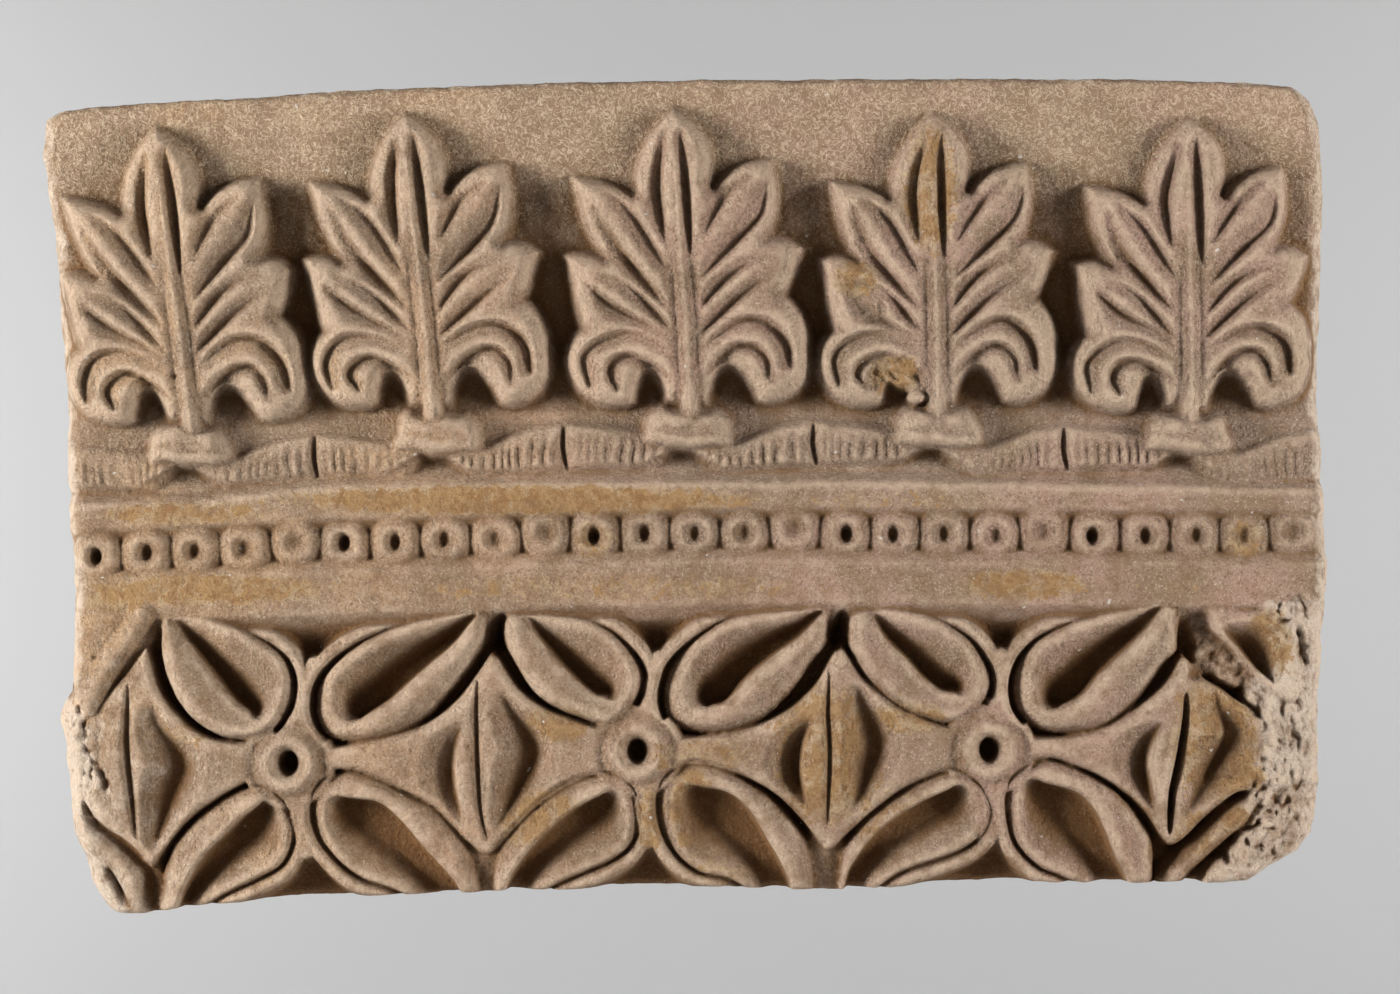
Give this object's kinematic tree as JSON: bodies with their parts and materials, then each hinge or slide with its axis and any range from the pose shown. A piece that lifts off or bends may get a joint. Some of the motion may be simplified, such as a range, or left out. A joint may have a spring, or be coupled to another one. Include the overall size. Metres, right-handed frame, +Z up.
{
  "type": "decorative wall panel",
  "caption": "Slab of carved gypsum plaster with palmettes on a knotted ribbon, a row of drilled beads and a band of stars and petals; flat back made to be fixed to a wall.",
  "frame": {"origin": "middle of the flat back, where the panel meets the wall", "axes": "+X to the right as the carving is seen, +Y out of the back into the wall, +Z up; the carved front faces -Y"},
  "size_m": [0.6092, 0.062, 0.3948],
  "materials": {
    "gypsum_plaster": "matt dry plaster, worn, with earth in the hollows and traces of ochre paint"
  },
  "bodies": {
    "root": {"panel": "gypsum_plaster"}
  },
  "joints": []
}
